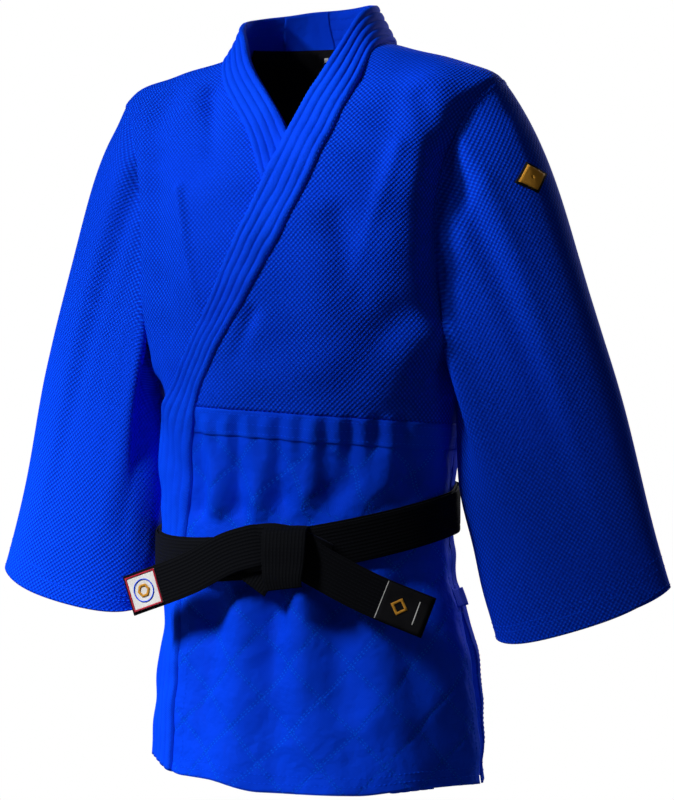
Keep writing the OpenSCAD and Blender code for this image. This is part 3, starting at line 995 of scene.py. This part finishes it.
# ---- Sleeves, made on the left and mirrored ----

SLEEVE_COLS = 132
SLEEVE_ROWS = 150
CUFFS = {"left": np.array([288.0, 14.0, -584.0]), "right": np.array([277.0, 14.0, -568.0])}
CUFF_HALF_W = {"left": 94.0, "right": 89.0}
CUFF_HALF_D = 42.0
CUFF_TILTS = {"left": math.radians(17), "right": math.radians(13)}
CUFF_TURN = 0.945        # the share of the sleeve's length at which its turned hem starts
GUSSET_ROWS = slice(4, 32)
GUSSET_HALF_ANGLE = 34
SLEEVE_WAY = np.array([0.29, 0.0, -0.957])       # the way the arm hangs
SLEEVE_L = 520           # the length of the sleeve on which its folds are laid
MM_PER_DEGREE = 1.5      # round a sleeve of 85 mm radius

# Folds of a sleeve as (angle round it, share of its length); half widths and heights in mm.
# Angle 0 is the shoulder point, -90 the front and 180 the underarm.
REAR_FOLDS = [
    ((165, 0.05), (140, 0.90), 18, -7.0),
    ((130, 0.05), (100, 0.90), 20, 6.0),
    ((90, 0.05), (60, 0.85), 24, -5.0),
]
LEFT_SLEEVE_FOLDS = REAR_FOLDS + [
    ((-150, 0.02), (-118, 0.75), 15, -7.0),
    ((-128, 0.05), (-92, 0.85), 17, 5.0),
    ((-100, 0.10), (-66, 0.80), 20, -4.5),
    ((-60, 0.18), (-30, 0.85), 24, 4.0),
    ((-172, 0.06), (-150, 0.90), 15, 6.0),
    ((-20, 0.02), (-8, 0.55), 26, -3.0),
]
RIGHT_SLEEVE_FOLDS = REAR_FOLDS + [
    ((-150, 0.02), (-124, 0.70), 15, -7.0),
    ((-124, 0.04), (-104, 0.80), 16, 5.5),
    ((-84, 0.06), (-72, 0.80), 22, -4.0),
    ((-46, 0.10), (-44, 0.85), 24, 4.0),
    ((-172, 0.06), (-156, 0.90), 15, 6.0),
    ((-14, 0.02), (-6, 0.55), 26, -3.0),
]


def bezier(p0, p1, p2, p3, t):
    s = 1 - t
    return s ** 3 * p0 + 3 * s * s * t * p1 + 3 * s * t * t * p2 + t ** 3 * p3


def sleeve_surface(side, creases):
    """The sleeve's outer face: rows from the armhole to the cuff, columns round it."""
    w = np.radians(np.linspace(0, 360, SLEEVE_COLS, endpoint=False))
    z = ARMHOLE_Z + (ARMHOLE_H / 2 + 2.0) * np.cos(w)
    y = (ARMHOLE_HALF_D + 2.0) * np.sin(w)
    u = -np.sign(y) * angle_of_y(y, z)
    root = form_at(u, z, drape(u, z) + CLOTH_T - 0.5)
    # The cloth leaves the armhole aslant on the shoulder, and straight down under the arm.
    high = (1 + np.cos(w)) / 2
    start = np.stack([0.64 * high, 0.10 * np.sin(w), 0.33 * high - 1.0], axis=-1)
    reach = (108 - 10 * high)[:, None]
    # The cuff is a tilted oval, hanging lowest in front and a little less behind.
    drop = -12 * smooth(-np.sin(w)) - 9 * smooth(np.sin(w)) + 3 * np.cos(2 * w)
    squash = power(np.sin(w), 0.85)
    tilt = CUFF_TILTS[side]
    cuff = (CUFFS[side] + CUFF_HALF_W[side] * np.cos(w)[:, None]
            * np.array([math.cos(tilt), 0, math.sin(tilt)])
            + CUFF_HALF_D * squash[:, None] * np.array([0, 1.0, 0])
            + drop[:, None] * np.array([0.1, 0, 1.0]))
    t = np.linspace(0, 1, SLEEVE_ROWS)[:, None, None]
    grid = bezier(root, root + reach * unit(start), cuff - (80 + 70 * high)[:, None] * SLEEVE_WAY,
                  cuff, t)
    angle = np.degrees(w)
    angle = np.where(angle > 180, angle - 360, angle)[None, :]
    along = np.broadcast_to(t[..., 0], grid.shape[:2])
    centre = grid.mean(axis=1, keepdims=True)
    round_arm = angle * MM_PER_DEGREE
    scaled = [((a[0] * MM_PER_DEGREE, a[1] * SLEEVE_L), (b[0] * MM_PER_DEGREE, b[1] * SLEEVE_L),
               width, height) for a, b, width, height in creases]
    fall = folds(round_arm, along * SLEEVE_L, scaled) + waves(round_arm, along * 300, 9, 130, 1.6)
    rise = smooth(along * 9) * (0.35 + 0.65 * smooth((1 - along) * 3))
    rise = rise * smooth((1.0 - along) * 30 + 0.2)
    seam = 1.4 * bell(along * SLEEVE_L / 5)
    return grid + grid_normal(grid, True, centre) * (fall * rise + seam)[..., None]


def sleeve_uv(grid, way):
    """Cloth lengths down the arm and square to it, so that the weave runs straight down.

    Lengths across start on top of the arm, so the cut lies under it."""
    along = grid @ way
    level = grid - along[..., None] * way
    steps = np.linalg.norm(np.roll(level, -1, axis=1) - level, axis=-1)
    turn = steps.sum(axis=1, keepdims=True)
    across = np.cumsum(steps, axis=1) - steps
    across = np.where(across > turn / 2, across - turn, across)
    return np.stack([across, along], axis=-1) * MM


def sleeve_lines(grid, centre, shares):
    """Stitch lines round the sleeve at some shares of its length."""
    normal = grid_normal(grid, True, centre)
    rows = [int(round(share * (len(grid) - 1))) for share in shares]
    return [[np.concatenate([field[j], field[j][:1]]) for field in (grid, normal)]
            for j in rows]


def on_sleeve(obj):
    """Sets a sleeve piece's placement into its mesh."""
    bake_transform(obj)


def sleeve_cloth(side, name, node, grid, centre, material, closed_u=True, uv=None):
    """A layer of one sleeve. Its name and its node's name both follow the side's."""
    obj = shell(side + name, grid, CLOTH_T, material, closed_u, centre, uv)
    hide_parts(side + node)
    on_sleeve(obj)


def add_sleeve(side, creases):
    grid = sleeve_surface(side, creases)
    if side == "right":
        grid = grid[:, ::-1] * np.array([-1, 1, 1])
    centre = grid.mean(axis=1, keepdims=True)
    way = SLEEVE_WAY * [1 if side == "left" else -1, 1, 1]
    sleeve_cloth(side, "_sleeve_cloth", "_sleeve", grid, centre, RICE,
                 uv=sleeve_uv(grid, way))
    inside = grid - grid_normal(grid, True, centre) * (CLOTH_T + 0.4)
    hem = slice(int(CUFF_TURN * SLEEVE_ROWS), -1)
    sleeve_cloth(side, "_cuff_turn", "_cuff_hem", inside[hem], centre[hem], TWILL)
    under, half = SLEEVE_COLS // 2, int(SLEEVE_COLS * GUSSET_HALF_ANGLE / 360)
    gusset = inside[GUSSET_ROWS, under - half:under + half]
    sleeve_cloth(side, "_underarm_gusset", "_gusset", gusset, centre[GUSSET_ROWS], TWILL,
                 False)
    for name, shares in (("_cuff_stitches", (0.935, 0.95, 0.99)),
                         ("_armhole_stitches", (0.008, 0.022))):
        thread = stitches(side + name, sleeve_lines(grid, centre, shares), THREAD)
        on_sleeve(thread)
    return grid


LEFT_SLEEVE = add_sleeve("left", LEFT_SLEEVE_FOLDS)
add_sleeve("right", RIGHT_SLEEVE_FOLDS)


# ---- Belt: two wraps, a knot of folded tape and two free ends ----

BELT_T = 2.6
BELT_BACK_OFF = CLOTH_T + LAYER_GAP
BELT_FRONT_OFF = OVER_OFF + COLLAR_T + LAYER_GAP
WAIST_HALF = (151.0, 103.0)      # half the width and depth of the body under the belt
BEHIND_KNOT = np.array([14.0, 0.0, -516.7])
SECTION = 30             # points round a tape
FRONT = np.array([0.0, -1.0, 0.0])


def smooth_path(points, count):
    """A smooth curve through given points, evenly sampled."""
    points = np.asarray(points, float)
    at = lengths(points)
    fine = np.linspace(0, at[-1], 500)
    slope = np.gradient(points, at, axis=0)
    i = np.clip(np.searchsorted(at, fine, side="right") - 1, 0, len(at) - 2)
    h = (at[i + 1] - at[i])[:, None]
    t = (fine - at[i])[:, None] / h
    curve = hermite(t, h, points[i], points[i + 1], slope[i], slope[i + 1])
    run = lengths(curve)
    return at_lengths(curve, run, np.linspace(0, run[-1], count))


def strap_frame(path, facing):
    """The directions across a strap and out of its face at each point of its path."""
    along = unit(np.gradient(path, axis=0))
    across = unit(np.cross(along, np.broadcast_to(facing, path.shape)))
    return across, unit(np.cross(across, along))


def strap(name, path, width, thickness, facing, body, nodes=()):
    """A tape with soft edges along a path, its ribs running lengthwise."""
    across, out = strap_frame(path, facing)
    turn = np.linspace(0, 2 * math.pi, SECTION, endpoint=False)
    a = power(np.cos(turn), 0.22) * 0.5
    b = power(np.sin(turn), 0.5) * 0.5 * thickness
    wide = np.broadcast_to(width, (len(path),))[:, None]
    grid = (path[:, None] + across[:, None] * (a[None, :] * wide)[..., None]
            + out[:, None] * b[None, :, None])
    faces = grid_faces(len(path), SECTION, 0, True)
    faces.append(list(range(SECTION)))
    faces.append([(len(path) - 1) * SECTION + i for i in range(SECTION)])
    run = np.broadcast_to(lengths(path)[:, None], grid.shape[:2])
    side = np.broadcast_to(a[None, :] * BELT_W, grid.shape[:2])
    uv = np.stack([run, side], axis=-1).reshape(-1, 2) * MM
    obj = mesh_piece(name, grid.reshape(-1, 3), faces, uv, TAPE)
    assign(obj, body, nodes)


def belt_offset(u):
    """The belt follows the layers under it, and is drawn in between its ends and the back."""
    front = smooth((u + 6) / 20) * smooth((193 - u) / 18)
    return BELT_BACK_OFF + (BELT_FRONT_OFF - BELT_BACK_OFF) * front


def belt_ring(level, shift, tilt):
    """One turn round the waist, short of a degree, that starts and ends behind the knot."""
    u = np.linspace(86, 86 + 359, 300)
    place = np.where(u > 270, u - 360, u)
    off = belt_offset(place) + level
    x = (WAIST_HALF[0] + off) * np.cos(np.radians(u))
    y = -(WAIST_HALF[1] + off) * np.sin(np.radians(u))
    z = belt_mid(x, y) + shift + tilt * np.sin(np.radians(u) * 2 + 0.8)
    facing = np.stack([x / WAIST_HALF[0] ** 2, y / WAIST_HALF[1] ** 2, 0 * x], axis=-1)
    return np.stack([x, y, z], axis=-1), unit(facing)


def add_wraps():
    for name, node, level, shift, tilt in (
            ("belt_under_turn", "belt_inner_wrap", BELT_T / 2, 1.5, 1.2),
            ("belt_over_turn", "belt_outer_wrap", BELT_T * 1.5 + 0.6, -0.6, 1.8)):
        path, facing = belt_ring(level, shift, tilt)
        strap(name, path, BELT_W, BELT_T, facing, "jacket", [node])


def add_knot():
    front_fold = smooth_path([(27, -122, -506), (27, -136, -493), (28, -149, -496),
                              (29, -155, -509), (29, -157, -528), (29, -158, -545),
                              (30, -156.5, -553)], 60)
    width = 43 + 3 * np.sin(np.linspace(0, math.pi, 60)) - 5 * smooth(np.linspace(-1.2, 0.8, 60))
    along = unit(np.gradient(front_fold, axis=0))
    strap("knot_front_fold", front_fold, width, 3.4, np.cross(along, [1.0, 0.0, 0.0]), "jacket",
          ["belt_knot"])
    cross_fold = smooth_path([(-26, -133, -519), (-6, -139, -514), (14, -142, -512),
                              (34, -142, -516), (52, -138, -524), (62, -132, -530)], 40)
    strap("knot_cross_fold", cross_fold, 46, 9, FRONT, "jacket")
    back_fold = smooth_path([(27, -131, -508), (27, -136, -522), (28, -132, -540)], 24)
    strap("knot_back_fold", back_fold, 41, 14, FRONT, "jacket")
    loop_end = smooth_path([(10, -132, -509), (2, -135, -523), (-5, -136, -536),
                            (-15, -136, -551)], 30)
    strap("knot_loop_end", loop_end, BELT_W - 2, 4, FRONT, "jacket", ["belt_loop_end"])


LEFT_TAIL = smooth_path([(16, -140, -511), (38, -144, -519), (60, -142, -531), (112, -136, -557),
                         (171, -130, -580)], 70)
RIGHT_TAIL = smooth_path([(20, -141, -509), (-4, -144.5, -511), (-28, -144, -517),
                          (-80, -138, -541), (-150, -129, -566)], 70)


def on_tape(path, facing, back, aside, lift):
    """Points on the face of a tape: back from its tip and aside from its middle line."""
    across, out = strap_frame(path, facing)
    at = lengths(path)
    middle, side, up = (at_lengths(field, at, at[-1] - back) for field in (path, across, out))
    return middle + side * aside[:, None] + up * lift


def tape_patch(path, facing, start, end, half, lift):
    """A grid on the face of a tape, between two lengths back from its tip."""
    aside = np.linspace(-half, half, 14)
    return np.array([on_tape(path, facing, back, aside, lift)
                     for back in np.linspace(start, end, 14)])


def tape_outline(path, facing, centre, outlines, lift):
    """A closed band on the face of a tape between two outlines of (back, aside) points."""
    return np.array([on_tape(path, facing, centre + back, aside, lift)
                     for back, aside in (np.array(outline).T for outline in outlines)])


def square_outline(half):
    """Eight points a side, starting at each corner."""
    corners = half * np.array([(-1, -1), (1, -1), (1, 1), (-1, 1)])
    return [tuple(a + (b - a) * i / 8)
            for a, b in zip(corners, np.roll(corners, -1, axis=0)) for i in range(8)]


def round_outline(radius, count=32, sides=0):
    """A circle, or a polygon's outline when a number of sides is given."""
    points = []
    for k in range(count):
        angle = 2 * math.pi * k / count
        grow = 1.0
        if sides:
            local = angle % (2 * math.pi / sides) - math.pi / sides
            grow = math.cos(math.pi / sides) / math.cos(local)
        points.append((radius * grow * math.cos(angle), radius * grow * math.sin(angle)))
    return points


def patch(name, grid, thickness, material, body, nodes=(), closed=False):
    """A label or mark on a belt end. Its rows are closed rings where closed is true."""
    obj = shell(name, grid, thickness, material, closed, BEHIND_KNOT)
    assign(obj, body, nodes)


def add_tails():
    left_face, right_face = FRONT + [0.02, 0, 0.05], FRONT + [0, 0, 0.05]
    for name, node, path, facing, body in (
            ("left_free_end", "belt_left_tail", LEFT_TAIL, left_face, "left_tail"),
            ("right_free_end", "belt_right_tail", RIGHT_TAIL, right_face, "right_tail")):
        width = BELT_W * (0.5 + 0.5 * smooth((lengths(path) + 4) / 30))
        strap(name, path, width, BELT_T, facing, body, [node])
    # Labels and marks lie at lengths back from the tip, each on top of the one before.
    face = BELT_T / 2
    badge = tape_patch(RIGHT_TAIL, right_face, 2.5, 38.5, 18, face + 0.9)
    patch("round_badge", badge, 0.9, WHITE, "right_tail", ["tail_badge"])
    for name, shape, material, slot, nodes in (
            ("badge_rim", [square_outline(18), square_outline(16.4)], RED, "red_thread",
             ["tail_badge_border"]),
            ("badge_ring", [round_outline(12), round_outline(11)], THREAD, "twill_blue", ()),
            ("badge_middle", [round_outline(7.5, sides=6), round_outline(4.5, sides=6)], GOLD,
             "gold_thread", ())):
        grid = tape_outline(RIGHT_TAIL, right_face, 20.5, shape, face + 1.6)
        patch(name, grid, 0.8, material, "right_tail", nodes, closed=True)
    label = tape_patch(LEFT_TAIL, left_face, 1.8, 49, 19.6, face + 0.7)
    patch("plain_label", label, 0.7, BLACK, "left_tail", ["tail_label"])
    line = tape_patch(LEFT_TAIL, left_face, 49.6, 50.3, 19.6, face + 0.6)
    patch("label_line", line, 0.6, WHITE, "left_tail")
    bar = tape_patch(LEFT_TAIL, left_face, 12.5, 13.5, 12, face + 1.2)
    patch("label_bar", bar, 0.6, WHITE, "left_tail")
    diamond = [round_outline(radius, sides=4) for radius in (9, 5.5)]
    mark = tape_outline(LEFT_TAIL, left_face, 31, diamond, face + 1.4)
    patch("label_mark", mark, 0.8, GOLD, "left_tail", closed=True)


add_wraps()
add_knot()
add_tails()


# ---- Emblem on the left sleeve, the tabs over the slits and the pieces at the neck ----

def sleeve_patch(grid, row, col, outlines, lift):
    """Closed rings laid on the sleeve about one of its points, and a point behind them."""
    centre = grid.mean(axis=1, keepdims=True)
    normal = grid_normal(grid, True, centre)
    origin, out = grid[row, col], normal[row, col]
    down = unit(grid[row + 6, col] - grid[row - 6, col])
    side = unit(np.cross(out, down))
    near = grid[row - 14:row + 14, col - 12:col + 13].reshape(-1, 3)
    rows = []
    for line in outlines:
        flat = np.array([origin + side * a + down * b for a, b in line])
        gap = np.linalg.norm(flat[:, None] - near[None], axis=-1)
        weight = bell(gap / 6.0)
        height = (weight * ((near - origin) @ out)[None]).sum(axis=1) / weight.sum(axis=1)
        rows.append(flat + out * (height + lift)[:, None])
    return np.array(rows), origin - out * 60


def disc_rows(outline):
    """An outline drawn in step by step, down to a point's width at its middle."""
    return [[(a * k, b * k) for a, b in outline] for k in np.linspace(1, 0.004, 5)]


EMBLEM_SHARE = 0.25     # how far down the sleeve
EMBLEM_ANGLE = 336      # how far round it from the shoulder point


def add_emblem():
    row, col = int(EMBLEM_SHARE * SLEEVE_ROWS), int(EMBLEM_ANGLE * SLEEVE_COLS / 360)
    for name, node, radius, lift, material, slot in (
            ("sleeve_emblem_ground", "emblem_ground", 21.0, 1.0, BLACK, "black_cloth"),
            ("sleeve_emblem_motif", "emblem_motif", 17.0, 1.9, GOLD, "gold_thread")):
        outline = [(a, b * 0.82) for a, b in round_outline(radius, 48, 4)]
        grid, behind = sleeve_patch(LEFT_SLEEVE, row, col, disc_rows(outline), lift)
        obj = shell(name, grid, 0.9, material, True, behind)
        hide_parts(node)
        on_sleeve(obj)


def add_vent_tabs():
    """A tab over the top of each side slit, its rear end standing a little off the cloth."""
    for side, middle_u, back_way in (("left", 0.0, -1), ("right", 180.0, 1)):
        z = rows_between(SLIT_Z - 15, SLIT_Z + 3, 2)
        grid = panel_grid(z, middle_u - 6 * back_way, middle_u + 6 * back_way, 24, 0)
        off = 2.5 * smooth(np.linspace(-1, 1, 24)) + (OVER_OFF * 0.35 if side == "left" else 0.8)
        grid = grid + grid_normal(grid) * off[None, :, None]
        add_panel(side + "_slit_tab", [side + "_vent_tab"], grid, TWILL)


def neck_piece(name, node, angles, z, off, material):
    """A small piece inside the neck, between two angles and over some heights."""
    grid = form_at(np.linspace(*angles, 24)[None, :], z[:, None], np.full((len(z), 24), off))
    obj = shell(name, grid, 1.0, material)
    assign(obj, "jacket", [node] if node else ())


def add_neck_pieces():
    neck_piece("collar_join", "neck_patch", (229, 271), rows_between(5, COLLAR_H - 1, 3), -0.9,
               COLLAR)
    neck_piece("size_tag", "size_label", (258, 270), rows_between(-14, 8, 3), -4.0,
               BLACK)
    neck_piece("size_tag_dash", None, (262.5, 265.5), rows_between(1.5, 5.0, 0.8), -5.2,
               WHITE)


add_emblem()
add_vent_tabs()
add_neck_pieces()
